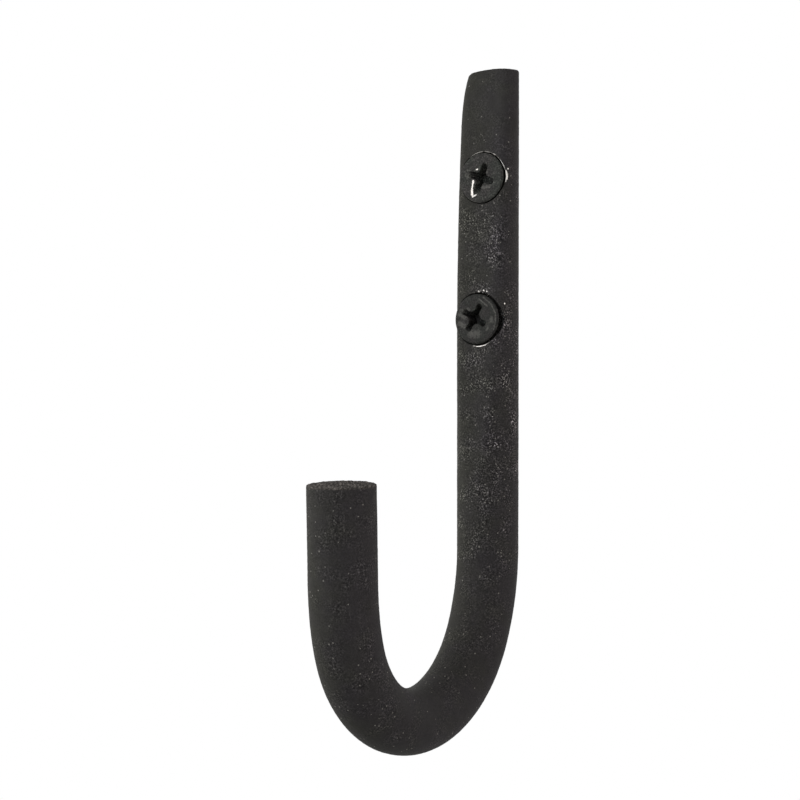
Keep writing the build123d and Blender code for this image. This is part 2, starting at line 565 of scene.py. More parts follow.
def bar_tree():
    """Node tree that draws the bar's skin as a grid, round its section and along its length."""
    tree, given, size = geometry_tree(
        "Flatted bar",
        {
            "Object": ["Centreline", "Hole cutter"],
            "Float": [
                "Centreline length",
                "Bar radius",
                "Seat cut",
                "Flat length",
                "Flat slope",
                "Flat corner",
                "Nose length",
                "Nose radius",
                "Crown radius",
                "Crown tilt",
                "Crown lean",
                "Top edge",
                "Arm edge",
            ],
            "Int": ["Faces round", "Faces along"],
        },
    )
    radius, length = size["Bar radius"], size["Centreline length"]
    grid, share_round, share_along = unit_grid(tree, size["Faces round"], size["Faces along"])
    angle = share_round * (2 * math.pi)

    # The rows run out from the middle of the top, down the bar and in to the middle of the arm's
    # end. Rounding an edge adds this many of its radii to the way over it.
    rounding = math.pi / 2 - 2
    skin = length + 2 * radius + (size["Top edge"] + size["Arm edge"]) * rounding
    top_share, below_top = end_shape(share_along * skin, radius, size["Top edge"])
    arm_share, before_end = end_shape((1.0 - share_along) * skin, radius, size["Arm edge"])
    in_top_half = maths("LESS_THAN", share_along, 0.5)
    distance = chosen(in_top_half, below_top, length - before_end)
    share = top_share * arm_share

    past_nose = maths("MAXIMUM", size["Nose length"] - distance, 0.0)
    past_run_out = maths("MAXIMUM", size["Flat length"] - distance, 0.0)
    cut = past_run_out * maths("TANGENT", size["Flat slope"])
    cut = cut + squared(past_nose) / (2.0 * size["Nose radius"])
    middle, out_x, out_y = flatted_outline(angle, radius, radius - cut, size["Flat corner"])
    across = share * out_x
    inward = middle + share * out_y

    path = node(tree, "GeometryNodeObjectInfo", {"Object": given["Centreline"]})
    sample = node(
        tree,
        "GeometryNodeSampleCurve",
        {"Curves": path.outputs["Geometry"], "Length": distance},
        mode="LENGTH",
        use_all_curves=True,
    ).outputs
    toward_wall = vector_maths(tree, "CROSS_PRODUCT", ACROSS, sample["Tangent"])
    aside, inside = scaled(tree, ACROSS, across), scaled(tree, toward_wall, inward)
    reach = vector_maths(tree, "ADD", aside, inside)
    x, y, z = parts_of(tree, vector_maths(tree, "ADD", sample["Position"], reach))

    # The end cut leans and crowns the shank's last few millimetres.
    tilt, crown = size["Crown tilt"], size["Crown radius"]
    from_middle = x - crown * maths("SINE", tilt)
    crown_height = maths("SQRT", squared(crown) - squared(from_middle))
    y = maths("MINIMUM", y, 0.0)
    lift = crown_height - crown * maths("COSINE", tilt)
    lift = lift + (y - size["Seat cut"] + radius) * maths("TANGENT", size["Crown lean"])
    lifted_stretch = radius * 0.8
    near_top = clamped(1.0 - distance / lifted_stretch, 0.0, 1.0)
    skin_point = joined(tree, x, y, z + lift * near_top)

    # Mark the sawn end, whose coat lies rougher, while the rows still tell where it is.
    full_section = 0.999
    at_end = maths("LESS_THAN", arm_share, full_section)
    marked = node(
        tree,
        "GeometryNodeStoreNamedAttribute",
        {"Geometry": grid, "Name": "sawn", "Value": at_end},
        data_type="FLOAT",
        domain="POINT",
    ).outputs[0]
    shaped = node(tree, "GeometryNodeSetPosition", {"Geometry": marked, "Position": skin_point})
    closed = merged(tree, shaped.outputs[0], 1e-6)
    close_tree(tree, cut_by(tree, closed, given["Hole cutter"]), given["Material"])
    return tree


def coat_tree():
    """Node tree that lays a sandy coat on a bare piece."""
    tree, given, size = geometry_tree(
        "Sandy coat", {"Float": ["Grain size", "Grain depth", "Sharp angle"], "Int": ["Seed"]}
    )
    grain, depth, seed = size["Grain size"], size["Grain depth"], size["Seed"]
    place = node(tree, "GeometryNodeInputPosition").outputs[0]
    sawn = node(tree, "GeometryNodeInputNamedAttribute", {"Name": "sawn"}, data_type="FLOAT")
    sawn = Field(tree, sawn.outputs[0])

    # Grains, three times as deep on the sawn end, on swells some eight grains wide.
    rise = clouds(tree, place, grain, seed, detail=2.0, roughness=0.6) * 2.0
    swell = clouds(tree, place, grain / 0.12, seed, detail=1.0) * 2.0
    height = depth * (1.0 + sawn * 2.0) * rise + depth * 0.6 * swell
    normal = node(tree, "GeometryNodeInputNormal").outputs[0]
    coated = node(
        tree,
        "GeometryNodeSetPosition",
        {"Geometry": given["Geometry"], "Offset": scaled(tree, normal, height)},
    ).outputs[0]
    close_tree(tree, smoothed(tree, coated, size["Sharp angle"]), given["Material"])
    return tree


def stacked(rings):
    """Closed solid through rings of points, where a ring may also be a single point."""
    solid = bmesh.new()
    made = [[solid.verts.new(point) for point in ring] for ring in rings]
    count = max(len(ring) for ring in rings)
    for upper, lower in zip(made, made[1:]):
        for i in range(count):
            j = (i + 1) % count
            corners = [
                upper[i % len(upper)],
                lower[i % len(lower)],
                lower[j % len(lower)],
                upper[j % len(upper)],
            ]
            solid.faces.new(list(dict.fromkeys(corners)))
    bmesh.ops.recalc_face_normals(solid, faces=solid.faces)
    return solid


def lathe(profile, segments):
    """Solid of revolution about Z. The profile of radii and heights runs from axis to axis."""
    turns = [2 * math.pi * i / segments for i in range(segments)]
    return stacked(
        [
            [(r * math.cos(a), r * math.sin(a), z) for a in (turns if r > 0 else turns[:1])]
            for r, z in profile
        ]
    )


def softened(profile, steps=3):
    """Profile whose corners are rounded off from as far away as each corner's third number."""
    soft = [profile[0][:2]]
    for before, (*corner, cut), after in zip(profile, profile[1:], profile[2:]):
        corner = Vector(corner)
        start = corner + cut * (Vector(before[:2]) - corner).normalized()
        end = corner + cut * (Vector(after[:2]) - corner).normalized()
        for i in range(steps + 1 if cut else 1):
            t = i / steps
            soft.append(tuple(start.lerp(corner, t).lerp(corner.lerp(end, t), t)))
    return [*soft, profile[-1][:2]]


def to_object(name, solid):
    """A bmesh as an object in the scene."""
    mesh = bpy.data.meshes.new(name)
    solid.to_mesh(mesh)
    solid.free()
    return new_object(name, mesh)


def screw_frame(which, face_height=0.0):
    """Matrix at a screw's face, or at its hole's mouth behind it: local Z points to the room."""
    sizes = bpy.context.scene.hook_screws
    mount = MOUNTS[f"screw_{which}_thread"]
    inward = Vector(mount["axis"])
    thread_middle = sizes.length - sizes.tip_length - mount["dims"]["length_mm"] * MM / 2
    face = Vector(mount["pos_m"]) - inward * thread_middle
    up = ACROSS.cross(inward)
    turn = Matrix((ACROSS, up, -inward)).transposed().to_4x4()
    return Matrix.Translation(face + inward * face_height) @ turn


def hole_cutter(screws):
    """Both sunk holes as one cutting solid."""
    bore = MOUNTS["screw_upper_thread"]["dims"]["r_mm"] * MM + screws.hole_gap
    seat = screws.bevel_height + screws.land + screws.head_diameter / 2 - bore
    seat += screws.sink_shift
    drill_point_angle, faces_round = 118, 96
    drill_slope = math.tan(math.radians(drill_point_angle / 2))
    reach, lip, broken = 0.02, 0.002, 0.0001
    cutter = bmesh.new()
    for which, face, deeper, wider, shift in (
        ("upper", screws.upper_face, 0.0, 0.0, screws.sink_shift),
        (
            "lower",
            screws.lower_face,
            screws.lower_sink_extra,
            screws.lower_sink_widening,
            screws.lower_sink_shift,
        ),
    ):
        sink = screws.head_diameter / 2 + screws.sink_gap + wider
        bore_mouth = seat - screws.upper_face + deeper
        turned = lathe(
            [
                (0, lip),
                (sink + broken + lip, lip),
                (sink + broken, 0),
                (sink, -broken),
                (sink, (sink - bore) / drill_slope - bore_mouth),
                (bore, -bore_mouth),
                (bore, -reach),
                (0, -reach),
            ],
            faces_round,
        )
        turned.transform(screw_frame(which, face) @ Matrix.Translation((shift, 0, 0)))
        part = bpy.data.meshes.new("hole")
        turned.to_mesh(part)
        turned.free()
        cutter.from_mesh(part)
        bpy.data.meshes.remove(part)
    return to_object("hole_cutter", cutter)


class HOOK_OT_bar(bpy.types.Operator):
    """Make the bent bar with its flat, seat and sunk holes, and lay the coat on it"""

    bl_idname = "hook.bar"
    bl_label = "Make the coated bar"

    def execute(self, context):
        bar, look = context.scene.hook_bar, context.scene.hook_look
        material = coat_material(bar, look, context.scene.hook_screws)
        line, length = centreline(bar)
        cutter = hole_cutter(context.scene.hook_screws)
        values = {
            **named_sizes(bar),
            "Centreline": line,
            "Hole cutter": cutter,
            "Centreline length": length,
            "Bar radius": bar.diameter / 2,
            "Flat length": bar.shank_above + bar.flat_below,
            "Faces round": round(math.pi * bar.diameter / bar.face_size),
            "Faces along": round((length + bar.diameter) / bar.face_size),
            "Material": material,
        }
        bare = run_tree("bare_bar", bar_tree(), values)
        values = {**named_sizes(look), "Sharp angle": math.radians(45), "Material": material}
        coated = run_tree("coated_hook", coat_tree(), values, start=bare)
        bpy.data.objects.remove(line)
        bpy.data.objects.remove(cutter)
        if not coated.polygons:
            raise RuntimeError("the bar's node tree made no faces")
        show_piece("coated_hook", coated, "hook")
        return {"FINISHED"}


# ---------------------------------------------------------------- the screws


def screw_blank(screws):
    """Countersunk head and plain neck turned about Z, the head's face at Z = 0."""
    head, neck = screws.head_diameter / 2, screws.neck_diameter / 2
    rim = screws.bevel_height + screws.land
    edge, fillet, faces_round = 0.00004, 0.0004, 128
    flat_face, end_taper = head * 0.9, neck * 0.2
    profile = [
        (0, 0),
        (flat_face, 0, 0),
        (head - screws.bevel_width, 0, edge),
        (head, -screws.bevel_height, edge),
        (head, -rim, edge),
        (neck, neck - head - rim, fillet),
        (neck, -screws.neck_length, edge),
        (neck - end_taper, -screws.neck_length - end_taper, 0),
        (0, -screws.neck_length - end_taper),
    ]
    return to_object("screw_blank", lathe(softened(profile), faces_round))


def recess_ring(screws, lobe, depth, flare, wear):
    """Outline of the cross recess at a depth, its four wings between the head's round lobes."""
    wing_taper, lobe_growth, wear_depth, squareness = 0.15, 0.2, 0.0004, 4
    share = depth / screws.recess_depth
    reach = (screws.recess_span + (screws.recess_floor_span - screws.recess_span) * share) / 2
    half_wing = screws.recess_wing / 2 * (1 - wing_taper * share)
    lobe_place = screws.recess_centre / 2 + lobe
    lobe *= 1 + lobe_growth * share
    quarter, count, worn_wing = math.pi / 2, 192, 3
    ring = []
    for i in range(count):
        angle = 2 * math.pi * i / count
        wing = round(angle / quarter)
        off = angle - wing * quarter
        end = reach + (wear * max(0.0, 1 - depth / wear_depth) if wing == worn_wing else 0.0)
        radius = (math.cos(off) / end) ** squareness
        radius += (abs(math.sin(off)) / half_wing) ** squareness
        radius **= -1 / squareness
        beside = lobe_place * math.sin(quarter / 2 - abs(off))
        if beside < lobe:
            before = lobe_place * math.cos(quarter / 2 - abs(off))
            radius = before - math.sqrt(lobe**2 - beside**2)
        radius += flare
        ring.append((radius * math.cos(angle), radius * math.sin(angle), -depth))
    return ring


def recess_cutter(screws, turn, lobe, place, wear):
    """Cutter for a cross recess with worn lips, turned clockwise and set off centre."""
    above, lip = 0.0004, 0.00006
    levels = [(-above, above + lip), (0.0, lip), (lip, 0.0)]
    levels += [(screws.recess_depth * share, 0.0) for share in (0.1, 0.2, 0.6, 1.0)]
    rings = [recess_ring(screws, lobe, max(depth, 0.0), flare, wear) for depth, flare in levels]
    rings[0] = [(x, y, above) for x, y, z in rings[0]]
    pit = (0, 0, -1.08 * screws.recess_depth)
    middle = (0, 0, above)
    solid = stacked([[middle], *rings, [pit]])
    solid.transform(Matrix.Translation((*place, 0)) @ Matrix.Rotation(-turn, 4, "Z"))
    return to_object("recess_cutter", solid)


def screw_tree():
    """Node tree that runs a thread down a screw blank to its point and cuts its recess."""
    tree, given, size = geometry_tree(
        "Threaded screw",
        {
            "Object": ["Recess cutter"],
            "Float": [
                "Core radius",
                "Thread radius",
                "Pitch",
                "Thread start",
                "Screw length",
                "Tip length",
                "Ridge share",
                "Sharp angle",
            ],
            "Int": ["Faces round", "Rows along", "Rows in a turn"],
        },
    )
    start, length, pitch = size["Thread start"], size["Screw length"], size["Pitch"]
    grid, share_round, share_along = unit_grid(tree, size["Faces round"], size["Rows along"])
    row = share_along * size["Rows along"] - 1.0

    # The rows run along the helix, so that each has its own place across the ridge. The ridge has
    # a narrow flat crest, and the core a slightly bulging tip.
    crest_cut, tip_bulge = 1.2, 0.85
    turns = row / size["Rows in a turn"]
    depth = clamped(start + pitch * (turns + share_round - 1.0), start, length)
    from_crest = maths("ABSOLUTE", maths("FRACT", turns) - 0.5) * 2.0
    ridge = clamped((1.0 - from_crest / size["Ridge share"]) * crest_cut, 0.0, 1.0)
    ridge = ridge * clamped((depth - start) / pitch, 0.0, 1.0)
    taper = clamped((length - depth) / size["Tip length"], 0.0, 1.0)
    core = size["Core radius"] * maths("POWER", taper, tip_bulge)
    crest = maths("MAXIMUM", size["Thread radius"] * taper - core, 0.0)
    radius = (core + crest * ridge) * maths("GREATER_THAN", row, -0.5)
    angle = share_round * (-2 * math.pi)
    point = joined(tree, radius * maths("COSINE", angle), radius * maths("SINE", angle), -depth)
    shaped = node(tree, "GeometryNodeSetPosition", {"Geometry": grid, "Position": point})
    thread = merged(tree, shaped.outputs[0], 1e-7)

    whole = node(
        tree,
        "GeometryNodeMeshBoolean",
        {"Mesh 2": given["Geometry"]},
        operation="UNION",
        solver="EXACT",
    )
    feed(tree, whole.inputs["Mesh 2"], thread)
    cut = cut_by(tree, whole.outputs[0], given["Recess cutter"])
    clean = merged(tree, cut, 2e-6)
    close_tree(tree, smoothed(tree, clean, size["Sharp angle"]), given["Material"])
    return tree


class HOOK_OT_screws(bpy.types.Operator):
    """Make the two countersunk screws with their threads and worn cross recesses"""

    bl_idname = "hook.screws"
    bl_label = "Make the screws"

    def execute(self, context):
        screws, look = context.scene.hook_screws, context.scene.hook_look
        material = screw_material(look)
        tree = screw_tree()
        rows_in_turn, overlap = 24, screws.neck_diameter * 0.05
        thread_start = screws.neck_length - overlap
        turns = (screws.length - thread_start) / screws.pitch + 1
        values = {
            **named_sizes(screws),
            "Core radius": screws.core_diameter / 2,
            "Thread radius": MOUNTS["screw_upper_thread"]["dims"]["r_mm"] * MM,
            "Thread start": thread_start,
            "Ridge share": 0.5,
            "Sharp angle": math.radians(35),
            "Faces round": 64,
            "Rows along": math.ceil(rows_in_turn * turns) + 1,
            "Rows in a turn": rows_in_turn,
            "Material": material,
        }
        for which, turn, lobe, place, wear in (
            ("upper", screws.upper_turn, screws.upper_lobe, (0.0, 0.0), screws.recess_wear),
            ("lower", screws.lower_turn, screws.lower_lobe, screws.lower_recess_place, 0.0),
        ):
            blank = screw_blank(screws)
            cutter = recess_cutter(screws, turn, lobe, place, wear)
            values["Recess cutter"] = cutter
            made = run_tree(f"{which}_screw", tree, values, start=blank.data)
            bpy.data.objects.remove(blank)
            bpy.data.objects.remove(cutter)
            if not made.polygons:
                raise RuntimeError(f"the {which} screw's node tree made no faces")
            made.transform(screw_frame(which))
            show_piece(f"{which}_screw", made, f"screw_{which}")
        return {"FINISHED"}


# ---------------------------------------------------------------- finishes


def new_material(name):
    """A material with an empty node tree."""
    material = bpy.data.materials.new(name)
    material.use_nodes = True
    material.node_tree.nodes.clear()
    return material, material.node_tree


def object_place(tree):
    """The place on the piece in its own coordinates."""
    return node(tree, "ShaderNodeTexCoord").outputs["Object"]


def mixed(tree, share, first, second):
    """A colour that passes from the first to the second."""
    made = node(tree, "ShaderNodeMix", {0: share, 6: first, 7: second}, data_type="RGBA")
    return made.outputs[2]


def seen_from(tree, place, frame_matrix):
    """The place as across, up and out in a screw's or hole's own frame."""
    rows = frame_matrix.inverted()[:3]
    return [measured(tree, "DOT_PRODUCT", place, row[:3]) + row[3] for row in rows]


def stroke(tree, place, start, end, width):
    """1 on the line from start to end, falling to 0 a width away from it."""
    run = end - start
    off = vector_maths(tree, "SUBTRACT", place, start)
    along = measured(tree, "DOT_PRODUCT", off, run / run.length_squared)
    nearest = scaled(tree, run, clamped(along, 0.0, 1.0))
    return clamped(1.0 - distance_from(tree, off, nearest) / width, 0.0, 1.0)


def rim_arc(across, up, radius, width, toward, spread):
    """1 on an arc outside a hole's rim, falling to 0 a width further out and at its ends."""
    from_axis = maths("SQRT", squared(across) + squared(up))
    facing = (across * math.cos(toward) + up * math.sin(toward)) / from_axis
    along = clamped((facing - math.cos(spread)) / (1 - math.cos(spread)), 0.0, 1.0)
    outside = (from_axis - radius) / width
    return clamped(1.0 - outside, 0.0, 1.0) * maths("GREATER_THAN", outside, 0.0) * along


def scrapes(tree, place, marks):
    """1 along each mark of a table of marks on the screws' faces."""
    worn = 0.0
    for which, *ends, width in marks:
        face = screw_frame(which)
        start, end = (face @ Vector((across * MM, up * MM, 0)) for across, up in ends)
        worn = maths("MAXIMUM", stroke(tree, place, start, end, width * MM), worn)
    return worn


def tinted(colour, red, green, blue):
    """A colour whose three parts are made stronger or weaker."""
    return (*(Vector(colour[:3]) * Vector((red, green, blue))), 1.0)


def close_material(tree, surface, height, relief):
    """End a material: the surface's inputs, and a height that is drawn as a fine relief."""
    strength = 0.6
    bump = node(
        tree, "ShaderNodeBump", {"Distance": relief, "Strength": strength, "Height": height}
    )
    shader = node(tree, "ShaderNodeBsdfPrincipled", {**surface, "Normal": bump.outputs[0]})
    node(tree, "ShaderNodeOutputMaterial", {"Surface": shader.outputs[0]})


# Marks on the screws' faces: the screw, the mark's two ends across and up from the middle of its
# face, and its width, all in millimetres.
DRIVER_MARKS = (
    ("upper", (-1.45, -0.45), (-1.50, -0.80), 0.32),
    ("upper", (-1.50, -0.80), (-1.66, -1.90), 0.22),
    ("upper", (-1.62, -1.90), (-1.56, -2.75), 0.36),
    ("upper", (-1.50, -2.95), (-0.85, -2.70), 0.22),
    ("upper", (-0.75, -2.60), (-0.55, -1.90), 0.13),
    ("upper", (-0.90, 1.34), (-0.68, 1.42), 0.16),
)
# Worn grey lips round the recesses, and painted highlights on the lower head, in the same columns.
RUBBED_AND_HIGHLIGHT_MARKS = (
    ("upper", (0.85, 2.40), (0.95, 0.70), 0.22),
    ("upper", (0.30, -1.60), (1.60, -1.55), 0.30),
    ("upper", (1.60, -1.30), (2.30, -0.90), 0.20),
    ("upper", (-2.60, 0.20), (-1.90, 0.40), 0.30),
    ("upper", (-3.10, 1.20), (-2.00, 1.30), 0.20),
    ("lower", (-2.90, 1.30), (-1.60, 1.45), 0.50),
    ("lower", (-3.10, -0.70), (-2.30, -1.10), 0.60),
    ("lower", (-0.90, -2.40), (0.30, -2.40), 0.90),
    ("lower", (1.90, -1.80), (2.20, -1.50), 0.20),
    # Painted highlight: a bright blob at the lower head's right.
    ("lower", (2.80, 0.15), (2.85, -0.35), 0.42),
    ("upper", (-2.70, 0.60), (-1.20, 0.30), 0.55),
    ("lower", (-3.30, 0.70), (-2.10, 0.20), 0.45),
    ("lower", (0.35, 3.25), (1.97, 2.05), 0.16),
    # Painted highlight: a thin bright line just inside the lower head's rim, from its top round to
    # its right.
    ("lower", (1.20, 3.40), (2.60, 2.45), 0.15),
    ("lower", (2.60, 2.45), (3.50, 0.90), 0.15),
    ("lower", (3.50, 0.90), (3.60, -0.30), 0.15),
    ("lower", (3.60, -0.30), (3.30, -1.60), 0.15),
)


def screw_material(look):
    """Matt black phosphate, worn bright where a driver slipped, with worn grey lips, painted
    highlights on the lower head, and painted shade and light down in the recesses.
    """
    material, tree = new_material("black_phosphate")
    place = object_place(tree)
    patches = clouds(tree, place, 0.0009, look.seed)
    hues = clouds(tree, place, 0.0020, look.seed + 2)
    grain = clouds(tree, place, 0.00025, look.seed + 1, detail=3.0)

    # Painted shade and light down in the recesses, growing from the head's face to full strength
    # 0.9 mm below it.
    painted_recess_shade = 0.0
    recess_radius, recess_floor, full_shade_depth = 0.0028, -0.0027, -0.0009
    for which in ("upper", "lower"):
        across, up, out = seen_from(tree, place, screw_frame(which))
        inside = maths("LESS_THAN", squared(across) + squared(up), recess_radius**2)
        in_head = maths("GREATER_THAN", out, recess_floor)
        painted_recess_shade = inside * in_head * clamped(out / full_shade_depth, 0.0, 1.0) + painted_recess_shade

    wear = scrapes(tree, place, DRIVER_MARKS)
    wear = edged(wear + grain * 1.2, 0.3, 4.0)
    # Grey strokes: worn lips, and the lower head's painted highlights.
    rubbed_and_highlit = scrapes(tree, place, RUBBED_AND_HIGHLIGHT_MARKS)
    rubbed_and_highlit = clamped(rubbed_and_highlit * (1.3 + grain * 6.0), 0.0, 1.0)

    # A greener and a browner black. Patches and grains then double or halve it, and the lower
    # screw's is the deeper one.
    green = tinted(look.screw_colour, 1.00, 1.03, 0.94)
    brown = tinted(look.screw_colour, 1.10, 0.99, 0.99)
    black = mixed(tree, clamped(0.5 + hues * 4.0, 0.0, 1.0), green, brown)
    lower_face, around_head = screw_frame("lower").translation, 0.01
    is_lower = maths("LESS_THAN", distance_from(tree, place, lower_face), around_head)
    doublings = patches * 2.4 + grain * 9.5 - is_lower * 0.75 - 0.12
    black = scaled(tree, black, maths("POWER", 2.0, doublings))
    # Painted shade in the lower recess and painted light in the upper one, mottled by the grains.
    # The grey is laid on thicker down in the recesses, as painted light.
    shade = clamped(is_lower * 0.3 - 0.15 - grain * 5.0, -0.8, 0.95)
    black = scaled(tree, black, 1.0 - painted_recess_shade * shade)
    black = mixed(tree, rubbed_and_highlit * (0.3 + painted_recess_shade * 0.6), black, RUBBED_AND_HIGHLIGHT_GREY)
    surface = {
        "Base Color": mixed(tree, wear, black, WORN_STEEL),
        "Metallic": wear,
        "Roughness": 0.6 + grain * 0.3 - wear * 0.2,
        "Specular IOR Level": 0.18,
    }
    close_material(tree, surface, grain, 0.00003)
    return material


def bare_metal(tree, place, screws, grain):
    """Where the coat has chipped off round the sunk holes."""
    sink = screws.head_diameter / 2 + screws.sink_gap
    upper = ("upper", screws.upper_face, sink, screws.sink_shift)
    wider_sink = sink + screws.lower_sink_widening
    lower = ("lower", screws.lower_face, wider_sink, screws.lower_sink_shift)
    chips, chips_floor = 0.0, -0.0015

    # Arcs along a rim: the hole, the arc's width, where its middle lies and its half angle.
    for (which, face, radius, shift), width, toward, spread in (
        (upper, 0.00036, 2, 20),
        (upper, 0.00016, 66, 84),
        (lower, 0.00040, -80, 29),
    ):
        hole = screw_frame(which, face) @ Matrix.Translation((shift, 0, 0))
        across, up, out = seen_from(tree, place, hole)
        arc = rim_arc(across, up, radius, width, math.radians(toward), math.radians(spread))
        chips = maths("MAXIMUM", arc * maths("GREATER_THAN", out, chips_floor), chips)

    # Spots: the screw they lie beside, their place from its face's middle, and their width.
    for which, where, width in (
        ("upper", (0.0045, 0.0013, -0.00075), 0.00022),
        ("lower", (0.0002, 0.0044, -0.0002), 0.00028),
        ("lower", (0.0011, 0.0046, -0.0002), 0.00018),
        ("lower", (0.0017, 0.0044, -0.0002), 0.00018),
        ("lower", (0.0045, 0.0025, -0.0012), 0.00024),
    ):
        spot = screw_frame(which) @ Vector(where)
        gone = clamped(1.0 - distance_from(tree, place, spot) / width, 0.0, 1.0)
        chips = maths("MAXIMUM", gone, chips)
    return edged(chips + grain * 0.9, 0.35, 5.0)


def coat_material(bar, look, screws):
    """Black powder coat with a sandy grain, pale specks that are partly painted sparkle, chips
    round the sunk holes, and painted light: warmer to the left, cooler to the right, lighter on the
    arm's upward end, and painted shade under the bend.
    """
    material, tree = new_material("sandy_black_coat")
    place = object_place(tree)
    x, y, z = parts_of(tree, place)
    tint = clouds(tree, place, 0.004, look.seed)
    patches = clouds(tree, place, 0.0012, look.seed + 1)
    grain = clouds(tree, place, look.grain_size * 0.5, look.seed + 2, detail=2.0, roughness=0.6)
    drifts = clouds(tree, place, 0.0030, look.seed + 3)

    # The saw's scores run aslant over the arm's end, drawn out along its stroke.
    slant_cos, slant_sin, drawn_out = 0.83, 0.56, 0.15
    across_saw = x * slant_cos + y * slant_sin
    along_saw = y * slant_cos - x * slant_sin
    scored = joined(tree, across_saw, along_saw * drawn_out, z)
    pits = clouds(tree, scored, 0.00024, look.seed + 4, detail=1.0)
    sawn = node(tree, "ShaderNodeAttribute", attribute_name="sawn")
    sawn = Field(tree, sawn.outputs["Fac"])

    # The sand stands out most on the shank, and less at the top and under the bend.
    shank, shank_reach = (0.0, -0.005, -0.018), 0.045
    beside = clamped(x / (bar.diameter / 2), 0.0, 1.0)
    near_top = (z - 0.008) / 0.012
    under = clamped((-0.055 - z) / 0.015, 0.0, 1.0)
    sandy = clamped(1.45 - distance_from(tree, place, shank) / shank_reach, 0.6, 1.0)
    sandy = sandy * (1.0 + beside * (sandy * 0.9 - 0.52))
    sandy = sandy * clamped(1.0 - near_top, 0.5, 1.0)
    sandy = sandy * (1.0 - under * 0.1)
    drifted = clamped(0.8 + drifts * 5.0, 0.35, 1.6) * sandy

    # Painted light tints: warmer on the left, lit side and cooler to the right, stirred by a random
    # tint.
    warm_painted_light = tinted(look.coat_colour, 1.03, 1.03, 0.95)
    cool_painted_light = tinted(look.coat_colour, 1.01, 0.95, 1.07)
    sawn_and_lit_colour = tinted(look.coat_colour, 1.06, 0.98, 0.97)
    black = mixed(tree, clamped(x / 0.009 + tint * 2.0 + 0.4, 0.0, 1.0), warm_painted_light, cool_painted_light)
    # The sawn end is lighter and warmer: its coat lies rougher, and its upward face has painted
    # light from above.
    black = mixed(tree, sawn, black, sawn_and_lit_colour)
    doublings = grain * drifted * 12.5 * (1.0 - sawn) + (pits * 8.0 + 1.2) * sawn
    # Random patches, and painted shade that darkens the coat under the bend.
    doublings = doublings + patches * 0.9 - under * 0.2
    black = scaled(tree, black, maths("POWER", 2.0, doublings))

    # A few cells of a fine pattern, and more where the coat is sandy, hold pale specks: pale grains
    # that also stand in for the grains' glints, as painted sparkle.
    cell_size, sparkle_speck_share, sparkle_speck_radius = 0.00032, 0.05, 0.35
    cells = node(
        tree, "ShaderNodeTexVoronoi", {"Vector": place, "Scale": 1 / cell_size}, feature="F1"
    ).outputs
    pick = node(tree, "ShaderNodeSeparateColor", {0: cells["Color"]}).outputs[0]
    sparkle_speck = maths("GREATER_THAN", Field(tree, pick), 1.0 - sparkle_speck_share * drifted)
    sparkle_speck = sparkle_speck * maths("LESS_THAN", Field(tree, cells["Distance"]), sparkle_speck_radius)
    black = mixed(tree, sparkle_speck * 0.8, black, SPARKLE_SPECK_GREY)

    bare = bare_metal(tree, place, screws, grain)
    surface = {
        "Base Color": mixed(tree, bare, black, BARE_STEEL),
        "Metallic": bare,
        "Roughness": clamped(0.75 + grain * 0.5 + sawn * 0.25 - bare * 0.35, 0.2, 1.0),
        "Specular IOR Level": 0.15,
    }
    close_material(tree, surface, grain + sparkle_speck * 0.2 + pits * sawn * 20.0, 0.00004)
    return material


# ---------------------------------------------------------------- the stage


def only_seen(tree, seen, otherwise):
    """Shader for what the camera, a gloss or a clear piece sees, and another for all the rest."""
    path = node(tree, "ShaderNodeLightPath").outputs
    looks = maths("MAXIMUM", Field(tree, path["Is Camera Ray"]), path["Is Glossy Ray"])
    looks = maths("MAXIMUM", looks, path["Is Transmission Ray"])
    return node(tree, "ShaderNodeMixShader", {0: looks, 1: otherwise, 2: seen}).outputs[0]


def light_world(strength, colour):
    """An even pale room that the camera sees as white."""
    world = bpy.data.worlds.new("pale_room")
    bpy.context.scene.world = world
    world.use_nodes = True
    tree = world.node_tree
    tree.nodes.clear()
    white = node(tree, "ShaderNodeBackground", {"Color": (1, 1, 1, 1), "Strength": 1.0})
    room = node(tree, "ShaderNodeBackground", {"Color": (*colour, 1), "Strength": strength})
    surface = only_seen(tree, white.outputs[0], room.outputs[0])
    node(tree, "ShaderNodeOutputWorld", {"Surface": surface})


def soft_lamp(name, place, aim, size, power, colour):
    """A square area lamp at a place, turned to its aim."""
    lamp = bpy.data.lights.new(name, "AREA")
    lamp.size, lamp.energy, lamp.color = size, power, colour
    made = new_object(name, lamp)
    made.location = place
    made.rotation_euler = (aim - place).to_track_quat("-Z", "Y").to_euler()


def flat_sheet(name, corners, material):
    """A stage sheet through four corners."""
    mesh = bpy.data.meshes.new(name)
    mesh.from_pydata(corners, [], [range(len(corners))])
    mesh.materials.append(material)
    sheet = new_object(name, mesh)
    return sheet


def clear_from_behind(tree, surface):
    """A stage sheet's shader, which lets the light and the sight through from its back."""
    clear = node(tree, "ShaderNodeBsdfTransparent").outputs[0]
    behind = node(tree, "ShaderNodeNewGeometry").outputs["Backfacing"]
    return node(tree, "ShaderNodeMixShader", {0: behind, 1: surface, 2: clear}).outputs[0]


def wall_material():
    """White from the room and clear from behind."""
    material, tree = new_material("white_wall")
    white = node(tree, "ShaderNodeEmission", {"Strength": 1.0}).outputs[0]
    node(tree, "ShaderNodeOutputMaterial", {"Surface": clear_from_behind(tree, white)})
    return material


